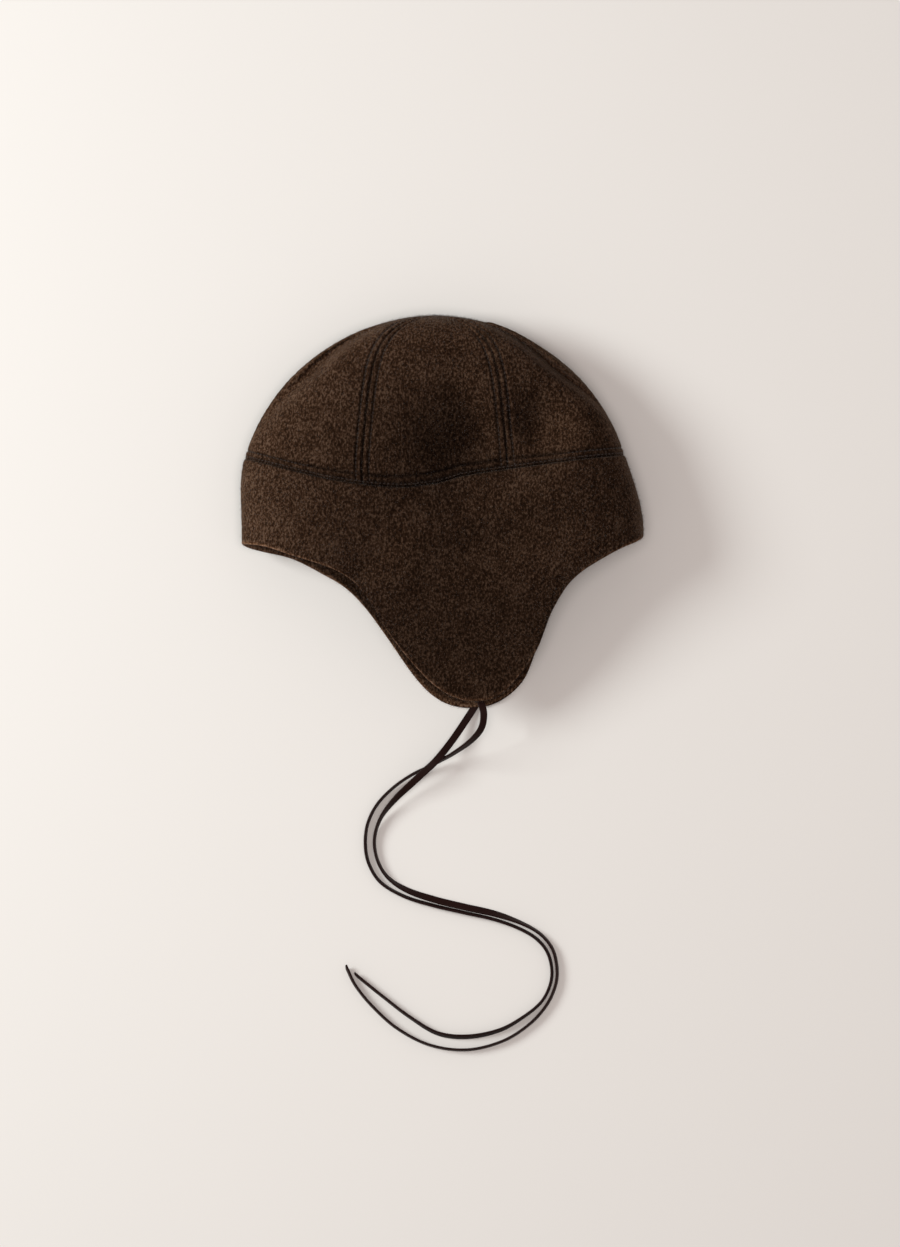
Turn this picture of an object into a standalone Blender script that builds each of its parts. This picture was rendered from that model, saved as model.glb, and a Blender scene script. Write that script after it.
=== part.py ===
"""Wool trapper hat with two ear flaps and two tie laces, lying on its side.

The hat rests on its far side, as it does on a table. +Z is up, +Y points to the top
of the crown and +X to the front. The origin is on the surface, at the middle of the
hat's plan without its laces. All sizes are in metres.
"""

import math

import bmesh
import bpy
from mathutils import Vector

# The lying hat, seen from above
HAT_WIDTH = 0.270
CROWN_REACH = 0.144
FLAP_REACH = 0.120
CROWN_SHIFT = -0.005
CROWN_SHIFT_REACH = 0.050
CROWN_FULLNESS = 0.018

# The lying hat, seen from its edge
FOLD_HEIGHT = 0.024
NEAR_RISE = 0.044
NEAR_FLAP_RISE = 0.012
NEAR_FRONT_ROUNDNESS = 3.6
NEAR_BACK_ROUNDNESS = 2.1
FAR_ROUNDNESS = 2.2
FAR_FLAT_SHARE = 0.55

# The cloth and how the pieces meet
CLOTH_THICKNESS = 0.0024
SEAM_GAP = 0.0003
APEX_RADIUS = 0.0012

# The laces are flat strips of leather
LACE_WIDTH = 0.0048
LACE_THICKNESS = 0.0015
LACE_STEP = 0.0115
LACE_BEVEL_STEPS = 2

# Columns and rows of each piece of cloth
NEAR_SIDE_GRID = (10, 15)
NEAR_END_GRID = (17, 15)
FAR_CROWN_GRID = (8, 15)
NEAR_BAND_GRID = (52, 11)
FAR_BAND_GRID = (42, 8)

# Rounds of the search for the place where two seams meet, the step for slopes, and
# the angle from which an edge is shaded sharp
SEAM_FOOT_TURNS = 8
STEP = 1e-4
SHARP_ANGLE = math.radians(50)

HALF_WIDTH = HAT_WIDTH / 2
WIDEST_Y = (FLAP_REACH - CROWN_REACH) / 2
FRONT, BACK = 0.0, math.pi
NEAR, FAR = 1, -1

# The seam between crown and band: across is a share of half the width, from the
# back fold to the front fold, and up is a share of the crown's reach.
BAND_SEAM = (
    {"across": -1.00, "up": 0.335},
    {"across": -0.80, "up": 0.290},
    {"across": -0.50, "up": 0.228},
    {"across": -0.20, "up": 0.198},
    {"across": 0.00, "up": 0.217},
    {"across": 0.14, "up": 0.252},
    {"across": 0.38, "up": 0.286},
    {"across": 0.70, "up": 0.322},
    {"across": 1.00, "up": 0.350},
)
FAR_SEAM_DROP = 0.035

# The lower edge, from the front fold to the back fold: across is a share of half the
# width, and down is a share of the flap's reach. The far flap lies flat, so it shows
# past the near one: far_across and far_down are how much further it lies.
EDGE = (
    {"across": 1.000, "down": 0.035, "far_across": 0.0, "far_down": 0.0},
    {"across": 0.900, "down": 0.100, "far_across": 0.0, "far_down": 0.0},
    {"across": 0.745, "down": 0.196, "far_across": 0.0, "far_down": 0.0},
    {"across": 0.633, "down": 0.297, "far_across": 0.0, "far_down": 0.0},
    {"across": 0.548, "down": 0.448, "far_across": 0.0, "far_down": 0.0},
    {"across": 0.507, "down": 0.566, "far_across": 0.0, "far_down": 0.0},
    {"across": 0.470, "down": 0.670, "far_across": 0.0, "far_down": 0.0},
    {"across": 0.381, "down": 0.818, "far_across": 0.02, "far_down": 0.031},
    {"across": 0.267, "down": 0.937, "far_across": 0.01, "far_down": 0.030},
    {"across": 0.130, "down": 0.959, "far_across": 0.0, "far_down": 0.040},
    {"across": 0.016, "down": 0.914, "far_across": -0.015, "far_down": 0.051},
    {"across": -0.087, "down": 0.824, "far_across": -0.025, "far_down": 0.037},
    {"across": -0.270, "down": 0.574, "far_across": -0.0185, "far_down": 0.011},
    {"across": -0.351, "down": 0.413, "far_across": -0.033, "far_down": 0.026},
    {"across": -0.439, "down": 0.293, "far_across": -0.037, "far_down": 0.040},
    {"across": -0.549, "down": 0.219, "far_across": -0.018, "far_down": 0.048},
    {"across": -0.750, "down": 0.145, "far_across": 0.0, "far_down": 0.018},
    {"across": -0.900, "down": 0.092, "far_across": 0.0, "far_down": 0.030},
    {"across": -1.000, "down": 0.078, "far_across": 0.0, "far_down": 0.0},
)

# The seams between the side and end panels of the crown, as shares of the section's
# half width: where they leave the band, and how much wider they stand at the top
GORE_SEAM_SHARE = 0.374
GORE_SEAM_SPREAD = 0.270
GORE_SEAM_POWER = 4

# Hollows of the near side: place and radii are shares of half the width, turn is in
# degrees, and deep is a share of the near side's rise. long is the radius along the
# hollow, and back and front are those to its two sides. The higher the edge power, the
# closer the hollows run to the folds.
DENT_EDGE_POWER = 6
NEAR_DENTS = (
    {"across": 0.10, "up": 0.22, "turn": 0, "long": 0.42, "back": 0.46, "front": 0.40, "deep": 0.14},
    {"across": 0.23, "up": 0.46, "turn": 33, "long": 0.24, "back": 0.27, "front": 0.09, "deep": 0.29},
    {"across": 0.46, "up": 0.48, "turn": -30, "long": 0.19, "back": 0.12, "front": 0.20, "deep": 0.21},
    {"across": 0.41, "up": -0.03, "turn": -76, "long": 0.42, "back": 0.12, "front": 0.18, "deep": 0.11},
    {"across": -0.36, "up": -0.14, "turn": -40, "long": 0.22, "back": 0.20, "front": 0.12, "deep": 0.08},
)

# Creases where the crown's ends collapse beside the front and back folds. low and high
# are the levels between which one runs. The angles are measured from the fold: one at
# the lower end and one from CREASE_TURN, a share of the run, to the upper end.
CREASE_TURN = 0.45
CREASES = (
    {"fold": FRONT, "low": 30, "high": 77, "low_angle": 8, "high_angle": 28.5, "width": 6.5, "deep": 0.0110},
    {"fold": BACK, "low": 26, "high": 75, "low_angle": 14, "high_angle": 27, "width": 9, "deep": 0.0080},
)

# The laces' routes. across and along are places on the surface, height is the middle
# of the strip, and turn is its twist: 0 stands on edge and 90 lies flat.
NEAR_LACE_ROUTE = (
    {"across": 0.0258, "along": -0.1287, "height": 0.0343, "turn": 80},
    {"across": 0.0277, "along": -0.1350, "height": 0.0338, "turn": 74},
    {"across": 0.0262, "along": -0.1450, "height": 0.0312, "turn": 58},
    {"across": 0.0195, "along": -0.1535, "height": 0.0262, "turn": 40},
    {"across": 0.0080, "along": -0.1620, "height": 0.0158, "turn": 24},
    {"across": -0.0010, "along": -0.1672, "height": 0.0082, "turn": 18},
    {"across": -0.0070, "along": -0.1704, "height": 0.0068, "turn": 14},
    {"across": -0.0203, "along": -0.1768, "height": 0.0048, "turn": 12},
    {"across": -0.0330, "along": -0.1856, "height": 0.0036, "turn": 12},
    {"across": -0.0440, "along": -0.1970, "height": 0.0028, "turn": 12},
    {"across": -0.0504, "along": -0.2100, "height": 0.0026, "turn": 12},
    {"across": -0.0520, "along": -0.2240, "height": 0.0026, "turn": 12},
    {"across": -0.0490, "along": -0.2370, "height": 0.0026, "turn": 12},
    {"across": -0.0425, "along": -0.2485, "height": 0.0026, "turn": 12},
    {"across": -0.0255, "along": -0.2581, "height": 0.0026, "turn": 14},
    {"across": -0.0070, "along": -0.2646, "height": 0.0026, "turn": 16},
    {"across": 0.0142, "along": -0.2699, "height": 0.0026, "turn": 14},
    {"across": 0.0335, "along": -0.2742, "height": 0.0026, "turn": 12},
    {"across": 0.0503, "along": -0.2800, "height": 0.0026, "turn": 12},
    {"across": 0.0628, "along": -0.2871, "height": 0.0026, "turn": 12},
    {"across": 0.0705, "along": -0.2960, "height": 0.0026, "turn": 12},
    {"across": 0.0738, "along": -0.3080, "height": 0.0026, "turn": 12},
    {"across": 0.0726, "along": -0.3190, "height": 0.0026, "turn": 12},
    {"across": 0.0665, "along": -0.3305, "height": 0.0026, "turn": 12},
    {"across": 0.0530, "along": -0.3415, "height": 0.0026, "turn": 16},
    {"across": 0.0380, "along": -0.3495, "height": 0.0026, "turn": 24},
    {"across": 0.0170, "along": -0.3537, "height": 0.0026, "turn": 30},
    {"across": -0.0030, "along": -0.3515, "height": 0.0026, "turn": 26},
    {"across": -0.0220, "along": -0.3405, "height": 0.0026, "turn": 16},
    {"across": -0.0400, "along": -0.3268, "height": 0.0026, "turn": 14},
    {"across": -0.0510, "along": -0.3180, "height": 0.0026, "turn": 14},
    {"across": -0.0585, "along": -0.3118, "height": 0.0026, "turn": 12},
)
FAR_LACE_ROUTE = (
    {"across": 0.0205, "along": -0.1330, "height": 0.0013, "turn": 90},
    {"across": 0.0160, "along": -0.1400, "height": 0.0034, "turn": 90},
    {"across": 0.0060, "along": -0.1545, "height": 0.0094, "turn": 90},
    {"across": -0.0050, "along": -0.1680, "height": 0.0152, "turn": 88},
    {"across": -0.0120, "along": -0.1745, "height": 0.0146, "turn": 84},
    {"across": -0.0200, "along": -0.1820, "height": 0.0122, "turn": 72},
    {"across": -0.0320, "along": -0.1935, "height": 0.0080, "turn": 44},
    {"across": -0.0415, "along": -0.2060, "height": 0.0048, "turn": 20},
    {"across": -0.0458, "along": -0.2200, "height": 0.0030, "turn": 12},
    {"across": -0.0440, "along": -0.2340, "height": 0.0026, "turn": 12},
    {"across": -0.0370, "along": -0.2460, "height": 0.0026, "turn": 16},
    {"across": -0.0245, "along": -0.2545, "height": 0.0025, "turn": 38},
    {"across": -0.0060, "along": -0.2610, "height": 0.0021, "turn": 56},
    {"across": 0.0150, "along": -0.2662, "height": 0.0020, "turn": 60},
    {"across": 0.0345, "along": -0.2705, "height": 0.0023, "turn": 46},
    {"across": 0.0520, "along": -0.2765, "height": 0.0026, "turn": 20},
    {"across": 0.0655, "along": -0.2840, "height": 0.0026, "turn": 12},
    {"across": 0.0740, "along": -0.2940, "height": 0.0026, "turn": 12},
    {"across": 0.0772, "along": -0.3060, "height": 0.0026, "turn": 12},
    {"across": 0.0766, "along": -0.3180, "height": 0.0026, "turn": 12},
    {"across": 0.0705, "along": -0.3320, "height": 0.0026, "turn": 12},
    {"across": 0.0590, "along": -0.3450, "height": 0.0026, "turn": 12},
    {"across": 0.0410, "along": -0.3565, "height": 0.0026, "turn": 12},
    {"across": 0.0170, "along": -0.3625, "height": 0.0026, "turn": 12},
    {"across": -0.0080, "along": -0.3595, "height": 0.0026, "turn": 12},
    {"across": -0.0300, "along": -0.3485, "height": 0.0026, "turn": 12},
    {"across": -0.0470, "along": -0.3335, "height": 0.0026, "turn": 12},
    {"across": -0.0588, "along": -0.3190, "height": 0.0026, "turn": 12},
    {"across": -0.0648, "along": -0.3068, "height": 0.0026, "turn": 14},
)

# colour, roughness and metallic value of each material
WOOL = {"colour": (0.030, 0.019, 0.013, 1.0), "roughness": 0.95, "metallic": 0.0}
LEATHER = {"colour": (0.022, 0.013, 0.011, 1.0), "roughness": 0.6, "metallic": 0.0}


def clear_scene():
    for item in list(bpy.data.objects):
        bpy.data.objects.remove(item)


def mix(start, end, share):
    return start + (end - start) * share


def ease(share):
    """Runs from 0 to 1 with no kink at either end."""
    share = min(1.0, max(0.0, share))
    return share * share * (3 - 2 * share)


def curve_through(places, values, place):
    """A smooth curve through a table's values, read at one place."""
    last = len(places) - 1
    k = 0
    while k < last - 1 and place > places[k + 1]:
        k += 1

    def slope(i):
        low, high = max(0, i - 1), min(last, i + 1)
        return (values[high] - values[low]) / (places[high] - places[low])

    length = places[k + 1] - places[k]
    s = (place - places[k]) / length
    return (
        values[k] * (1 + 2 * s) * (1 - s) ** 2
        + values[k + 1] * s * s * (3 - 2 * s)
        + slope(k) * length * s * (1 - s) ** 2
        - slope(k + 1) * length * s * s * (1 - s)
    )


def running_length(points):
    """How far along a chain of points each one lies, as a share of the whole."""
    far = [0.0]
    for a, b in zip(points, points[1:]):
        far.append(far[-1] + math.dist(a, b))
    return [f / far[-1] for f in far]


def y_at(level):
    """The place along the hat of a level: an angle of the crown's ellipse above its
    widest line, and below it the same measure run on straight."""
    return WIDEST_Y + CROWN_REACH * (math.sin(level) if level > 0 else level)


def crown_middle(y):
    """The crown leans a little to the back above the band."""
    return CROWN_SHIFT * ease((y - WIDEST_Y) / CROWN_SHIFT_REACH)


def bowed(share, roundness):
    """The height of a rounded form, 1 in the middle and 0 at share 1."""
    return max(0.0, 1 - share**roundness) ** (1 / roundness)


def dent_depth(across, up):
    """How far the hollows sink the near side at a place."""
    depth = 0.0
    for dent in NEAR_DENTS:
        turn = math.radians(dent["turn"])
        dx, dy = across - dent["across"], up - dent["up"]
        side = dx * math.cos(turn) + dy * math.sin(turn)
        run = -dx * math.sin(turn) + dy * math.cos(turn)
        reach = dent["front"] if side > 0 else dent["back"]
        depth += dent["deep"] * math.exp(-((side / reach) ** 2) - (run / dent["long"]) ** 2)
    return depth * NEAR_RISE


def crease_depth(around, level):
    """How far the creases beside the folds sink the near side."""
    depth = 0.0
    for crease in CREASES:
        share = (math.degrees(level) - crease["low"]) / (crease["high"] - crease["low"])
        if 0 < share < 1:
            angle = mix(crease["low_angle"], crease["high_angle"], ease(share / CREASE_TURN))
            off = (math.degrees(abs(around - crease["fold"])) - angle) / crease["width"]
            depth += crease["deep"] * 4 * share * (1 - share) * math.exp(-off * off)
    return depth


def skin(side, around, level):
    """A point of the outer face. around goes from the front fold, 0, over the near or
    the far side to the back fold, and level from the flaps to the crown's top."""
    y = y_at(level)
    up = math.sin(level) if level > 0 else 0.0
    across = (math.cos(level) if level > 0 else 1.0) * math.cos(around)
    out = min(1.0, math.hypot(across, up))
    fullness = 1 + CROWN_FULLNESS * math.sin(2 * level) ** 2 if level > 0 else 1.0
    x = crown_middle(y) + HALF_WIDTH * fullness * across
    if side == FAR:
        past_flat = max(0.0, (out - FAR_FLAT_SHARE) / (1 - FAR_FLAT_SHARE))
        return Vector((x, y, FOLD_HEIGHT * (1 - bowed(past_flat, FAR_ROUNDNESS))))
    down = ease((WIDEST_Y - y) / FLAP_REACH)
    rise = mix(NEAR_RISE, NEAR_FLAP_RISE, down)
    roundness = mix(NEAR_BACK_ROUNDNESS, NEAR_FRONT_ROUNDNESS, ease((1 + across) / 2))
    z = FOLD_HEIGHT + rise * bowed(out, roundness)
    inside = 1 - out**DENT_EDGE_POWER
    z -= inside * dent_depth(across, (y - WIDEST_Y) / HALF_WIDTH) * rise / NEAR_RISE
    z -= crease_depth(around, level)
    return Vector((x, y, z))


def slopes(side, around, level):
    """How the skin runs around and along the hat at a place."""
    level = min(level, math.pi / 2 - 2 * STEP)
    around = min(max(around, STEP), math.pi - STEP)
    run_around = skin(side, around + STEP, level) - skin(side, around - STEP, level)
    run_along = skin(side, around, level + STEP) - skin(side, around, level - STEP)
    return run_around / (2 * STEP), run_along / (2 * STEP)


def cloth_point(side, around, level, depth):
    """A point of the cloth, depth below its outer face and on its own side of the
    plane in which the near and far sides meet."""
    run_around, run_along = slopes(side, around, level)
    outward = run_along.cross(run_around).normalized() * side
    point = skin(side, around, level) - outward * depth
    clear = max(side * (point.z - FOLD_HEIGHT), SEAM_GAP / 2)
    point.z = FOLD_HEIGHT + side * clear
    return point


def beside(side, seam, level, distance):
    """The angle that lies a distance past a seam, measured square to it."""
    run_around, run_along = slopes(side, seam(level), level)
    run_seam = run_along + run_around * (seam(level + STEP) - seam(level - STEP)) / (2 * STEP)
    return seam(level) + distance * run_seam.length / run_around.cross(run_seam).length


def level_by(side, around, level, distance):
    """The level that lies a distance further up the hat."""
    return level + distance / slopes(side, around, level)[1].length


def seam_level(side, around):
    """The level of the seam between crown and band."""
    across = math.cos(around)
    rise = curve_through([row["across"] for row in BAND_SEAM], [row["up"] for row in BAND_SEAM], across)
    if side == FAR:
        rise -= FAR_SEAM_DROP * (1 - across * across)
    return math.asin(rise)


def front_fold(_level):
    return FRONT


def front_seam(level):
    """The angle of the seam between the front and side panels of the crown."""
    rise = max(0.0, math.sin(level))
    return math.acos(GORE_SEAM_SHARE + GORE_SEAM_SPREAD * rise**GORE_SEAM_POWER)


def back_seam(level):
    return math.pi - front_seam(level)


def back_fold(_level):
    return BACK


def edge_line(side):
    """The lower edge as pairs of angle and level, from the front fold to the back."""
    line = []
    for row in EDGE:
        across, down = row["across"], row["down"]
        if side == FAR:
            across += row["far_across"]
            down += row["far_down"]
        line.append((math.acos(max(-1.0, min(1.0, across))), -down * FLAP_REACH / CROWN_REACH))
    return line


def material(name, look):
    made = bpy.data.materials.new(name)
    made.use_nodes = True
    shader = made.node_tree.nodes["Principled BSDF"]
    shader.inputs["Base Color"].default_value = look["colour"]
    shader.inputs["Roughness"].default_value = look["roughness"]
    shader.inputs["Metallic"].default_value = look["metallic"]
    made.diffuse_color = look["colour"]
    return made


def cloth_piece(name, side, grid, place, look):
    """One piece of cloth: a grid laid on the hat by place(u, v), which gives an angle
    and a level, and thickened inwards."""
    columns, rows = grid
    form = bmesh.new()
    bmesh.ops.create_grid(form, x_segments=columns, y_segments=rows, size=0.5)
    spots = {v: (v.co.x + 0.5, v.co.y + 0.5) for v in form.verts}
    grown = bmesh.ops.extrude_face_region(form, geom=form.faces[:], use_keep_orig=True)
    inner = [v for v in grown["geom"] if isinstance(v, bmesh.types.BMVert)]
    for v in inner:
        u, w = v.co.x + 0.5, v.co.y + 0.5
        v.co = cloth_point(side, *place(u, w), CLOTH_THICKNESS)
    for v, (u, w) in spots.items():
        v.co = cloth_point(side, *place(u, w), 0.0)
    bmesh.ops.recalc_face_normals(form, faces=form.faces[:])
    if form.calc_volume(signed=True) < 0:
        bmesh.ops.reverse_faces(form, faces=form.faces[:])
    mesh = bpy.data.meshes.new(name)
    form.to_mesh(mesh)
    form.free()
    mesh.shade_smooth()
    mesh.set_sharp_from_angle(angle=SHARP_ANGLE)
    mesh.materials.append(look)
    piece = bpy.data.objects.new(name, mesh)
    bpy.context.scene.collection.objects.link(piece)
    return piece


def seam_foot(side, seam):
    """The angle at which a seam of the crown meets the band."""
    around = seam(0.0)
    for _ in range(SEAM_FOOT_TURNS):
        around = seam(seam_level(side, around))
    return around


def crown_panel(name, side, first, second, grid, look):
    """A panel of the crown between two seams, each given as an angle for a level."""
    half_gap = SEAM_GAP / 2
    top = math.acos(APEX_RADIUS / HALF_WIDTH)
    first_foot, second_foot = seam_foot(side, first), seam_foot(side, second)

    def place(u, v):
        base_around = mix(first_foot, second_foot, u)
        base = level_by(side, base_around, seam_level(side, base_around), half_gap)
        level = mix(base, top, v)
        low = beside(side, first, level, half_gap)
        high = beside(side, second, level, -half_gap)
        return mix(low, high, u), level

    return cloth_piece(name, side, grid, place, look)


def band_piece(name, side, grid, look):
    """The band and ear flap of one side, cut as one piece."""
    half_gap = SEAM_GAP / 2
    line = edge_line(side)
    along = running_length([skin(side, around, level) for around, level in line])
    edge_around = [around for around, _ in line]
    edge_level = [level for _, level in line]

    def place(u, v):
        around_top = mix(FRONT, BACK, u)
        level_top = level_by(side, around_top, seam_level(side, around_top), -half_gap)
        around = mix(curve_through(along, edge_around, u), around_top, v)
        level = mix(curve_through(along, edge_level, u), level_top, v)
        from_front = beside(side, front_fold, level, half_gap)
        from_back = beside(side, back_fold, level, -half_gap)
        return min(max(around, from_front), from_back), level

    return cloth_piece(name, side, grid, place, look)


def lace(name, route, look):
    """A flat strip of leather along a smooth curve through its route."""
    points = [Vector((p["across"], p["along"], p["height"])) for p in route]
    far = running_length(points)
    length = sum(math.dist(a, b) for a, b in zip(points, points[1:]))
    count = round(length / LACE_STEP)
    data = bpy.data.curves.new(name, "CURVE")
    data.dimensions = "3D"
    data.twist_mode = "Z_UP"
    data.bevel_depth = LACE_THICKNESS / 2
    data.bevel_resolution = LACE_BEVEL_STEPS
    data.extrude = (LACE_WIDTH - LACE_THICKNESS) / 2
    data.use_fill_caps = True
    spline = data.splines.new("POLY")
    spline.points.add(count)
    for k, point in enumerate(spline.points):
        share = k / count
        spot = [curve_through(far, [p[axis] for p in points], share) for axis in range(3)]
        point.co = (*spot, 1.0)
        point.tilt = math.radians(curve_through(far, [p["turn"] for p in route], share))
    data.materials.append(look)
    strip = bpy.data.objects.new(name, data)
    bpy.context.scene.collection.objects.link(strip)
    return strip


def build_hat():
    clear_scene()
    wool = material("brown_wool", WOOL)
    leather = material("brown_leather", LEATHER)

    for side, word, side_grid, end_grid in (
        (NEAR, "near", NEAR_SIDE_GRID, NEAR_END_GRID),
        (FAR, "far", FAR_CROWN_GRID, FAR_CROWN_GRID),
    ):
        crown_panel(f"crown_{word}_front", side, front_fold, front_seam, end_grid, wool)
        crown_panel(f"crown_{word}_side", side, front_seam, back_seam, side_grid, wool)
        crown_panel(f"crown_{word}_back", side, back_seam, back_fold, end_grid, wool)
    band_piece("band_flap_near", NEAR, NEAR_BAND_GRID, wool)
    band_piece("band_flap_far", FAR, FAR_BAND_GRID, wool)
    lace("lace_near", NEAR_LACE_ROUTE, leather)
    lace("lace_far", FAR_LACE_ROUTE, leather)


build_hat()
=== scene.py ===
import math

import bmesh
import bpy
import numpy as np
from bpy.props import FloatProperty, FloatVectorProperty, IntProperty, PointerProperty
from mathutils import Matrix, Vector, noise


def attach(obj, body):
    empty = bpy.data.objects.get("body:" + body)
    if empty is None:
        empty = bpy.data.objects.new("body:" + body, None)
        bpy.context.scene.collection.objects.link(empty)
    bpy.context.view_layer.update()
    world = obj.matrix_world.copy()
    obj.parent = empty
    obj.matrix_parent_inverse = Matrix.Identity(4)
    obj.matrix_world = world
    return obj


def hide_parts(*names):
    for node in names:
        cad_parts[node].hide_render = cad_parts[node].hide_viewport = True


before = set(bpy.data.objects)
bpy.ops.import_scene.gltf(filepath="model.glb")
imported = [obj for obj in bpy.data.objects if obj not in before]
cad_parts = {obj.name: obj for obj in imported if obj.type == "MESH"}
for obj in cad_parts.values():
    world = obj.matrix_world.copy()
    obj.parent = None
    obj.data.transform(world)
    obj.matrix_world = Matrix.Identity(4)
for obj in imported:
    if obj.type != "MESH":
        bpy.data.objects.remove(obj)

bl_info = {
    "name": "Wool trapper hat",
    "version": (1, 0, 0),
    "blender": (4, 5, 0),
    "location": "3D View > Sidebar > Hat",
    "description": "A felted wool hat with ear flaps and leather tie laces, lying on its side",
    "category": "Object",
}

BODY = "root"

# The hat as it lies: lengths in metres, forms as powers and shares
HAT_WIDTH = 0.270
CROWN_REACH = 0.144
FLAP_REACH = 0.120
CROWN_SHIFT = -0.005
CROWN_SHIFT_REACH = 0.050
CROWN_FULLNESS = 0.018
FOLD_HEIGHT = 0.024
NEAR_RISE = 0.044
NEAR_FLAP_RISE = 0.012
NEAR_FRONT_ROUNDNESS = 3.6
NEAR_BACK_ROUNDNESS = 2.1
FAR_ROUNDNESS = 2.2
FAR_FLAT_SHARE = 0.55
HALF_WIDTH = HAT_WIDTH / 2
WIDEST_Y = (FLAP_REACH - CROWN_REACH) / 2
FRONT, BACK = 0.0, math.pi
NEAR, FAR = 1, -1

# The seam between crown and band, in shares of the half width and of the crown's reach
BAND_SEAM = (
    {"across": -1.00, "up": 0.335},
    {"across": -0.80, "up": 0.290},
    {"across": -0.50, "up": 0.228},
    {"across": -0.20, "up": 0.198},
    {"across": 0.00, "up": 0.217},
    {"across": 0.14, "up": 0.252},
    {"across": 0.38, "up": 0.286},
    {"across": 0.70, "up": 0.322},
    {"across": 1.00, "up": 0.350},
)
FAR_SEAM_DROP = 0.035

# The near side's lower edge, in shares of the half width and of the flap's reach, and what
# the far side's edge adds to it
EDGE = (
    {"across": 1.000, "down": 0.035},
    {"across": 0.900, "down": 0.100},
    {"across": 0.745, "down": 0.196},
    {"across": 0.633, "down": 0.297},
    {"across": 0.548, "down": 0.448},
    {"across": 0.507, "down": 0.566},
    {"across": 0.470, "down": 0.670},
    {"across": 0.381, "down": 0.818, "far_across": 0.020, "far_down": 0.031},
    {"across": 0.267, "down": 0.937, "far_across": 0.010, "far_down": 0.030},
    {"across": 0.130, "down": 0.959, "far_down": 0.040},
    {"across": 0.016, "down": 0.914, "far_across": -0.015, "far_down": 0.051},
    {"across": -0.087, "down": 0.824, "far_across": -0.025, "far_down": 0.037},
    {"across": -0.270, "down": 0.574, "far_across": -0.0185, "far_down": 0.011},
    {"across": -0.351, "down": 0.413, "far_across": -0.033, "far_down": 0.026},
    {"across": -0.439, "down": 0.293, "far_across": -0.037, "far_down": 0.040},
    {"across": -0.549, "down": 0.219, "far_across": -0.018, "far_down": 0.048},
    {"across": -0.750, "down": 0.145, "far_down": 0.018},
    {"across": -0.900, "down": 0.092, "far_down": 0.030},
    {"across": -1.000, "down": 0.078},
)
GORE_SEAM_SHARE = 0.374
GORE_SEAM_SPREAD = 0.270
GORE_SEAM_POWER = 4
DENT_EDGE_POWER = 6
CREASE_TURN = 0.45

# Hollows of the near side in shares of the half width, as deep as a share of its rise
NEAR_DENTS = (
    {"across": 0.10, "up": 0.22, "turn": 0, "long": 0.42, "back": 0.46, "front": 0.40, "deep": 0.14},
    {"across": 0.23, "up": 0.46, "turn": 33, "long": 0.24, "back": 0.27, "front": 0.12, "deep": 0.29},
    {"across": 0.51, "up": 0.48, "turn": -30, "long": 0.19, "back": 0.17, "front": 0.16, "deep": 0.29},
    {"across": 0.41, "up": -0.03, "turn": -76, "long": 0.42, "back": 0.12, "front": 0.18, "deep": 0.11},
    {"across": -0.36, "up": -0.14, "turn": -40, "long": 0.22, "back": 0.20, "front": 0.12, "deep": 0.08},
)

# Creases beside the folds: angles in degrees, depths in metres
CREASES = (
    {"fold": FRONT, "low": 30, "high": 77, "low_angle": 8, "high_angle": 28.5, "width": 6.5, "deep": 0.0110},
    {"fold": BACK, "low": 26, "high": 75, "low_angle": 14, "high_angle": 27, "width": 9, "deep": 0.0080},
)

# The laces' middle lines in metres, with a turn in degrees: 0 stands on edge, 90 lies flat.
# A row without height or turn has these
LYING_HEIGHT = 0.0026
LYING_TURN = 12
NEAR_LACE_ROUTE = (
    {"across": 0.0250, "along": -0.1255, "height": 0.0306, "turn": 84},
    {"across": 0.0277, "along": -0.1350, "height": 0.0332, "turn": 74},
    {"across": 0.0262, "along": -0.1450, "height": 0.0312, "turn": 58},
    {"across": 0.0195, "along": -0.1535, "height": 0.0262, "turn": 40},
    {"across": 0.0080, "along": -0.1620, "height": 0.0158, "turn": 24},
    {"across": -0.0010, "along": -0.1672, "height": 0.0082, "turn": 18},
    {"across": -0.0070, "along": -0.1704, "height": 0.0068, "turn": 14},
    {"across": -0.0203, "along": -0.1768, "height": 0.0048},
    {"across": -0.0330, "along": -0.1856, "height": 0.0036},
    {"across": -0.0440, "along": -0.1970, "height": 0.0028},
    {"across": -0.0504, "along": -0.2100},
    {"across": -0.0520, "along": -0.2240},
    {"across": -0.0496, "along": -0.2370},
    {"across": -0.0418, "along": -0.2494},
    {"across": -0.0262, "along": -0.2588, "turn": 14},
    {"across": -0.0070, "along": -0.2649, "turn": 16},
    {"across": 0.0142, "along": -0.2699, "turn": 14},
    {"across": 0.0335, "along": -0.2742},
    {"across": 0.0503, "along": -0.2800},
    {"across": 0.0628, "along": -0.2871},
    {"across": 0.0705, "along": -0.2960},
    {"across": 0.0738, "along": -0.3080},
    {"across": 0.0726, "along": -0.3190},
    {"across": 0.0665, "along": -0.3305},
    {"across": 0.0530, "along": -0.3415, "turn": 16},
    {"across": 0.0380, "along": -0.3495, "turn": 24},
    {"across": 0.0170, "along": -0.3537, "turn": 30},
    {"across": -0.0030, "along": -0.3515, "turn": 26},
    {"across": -0.0220, "along": -0.3405, "turn": 16},
    {"across": -0.0400, "along": -0.3268, "turn": 14},
    {"across": -0.0510, "along": -0.3180, "turn": 14},
    {"across": -0.0585, "along": -0.3118},
)
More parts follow.
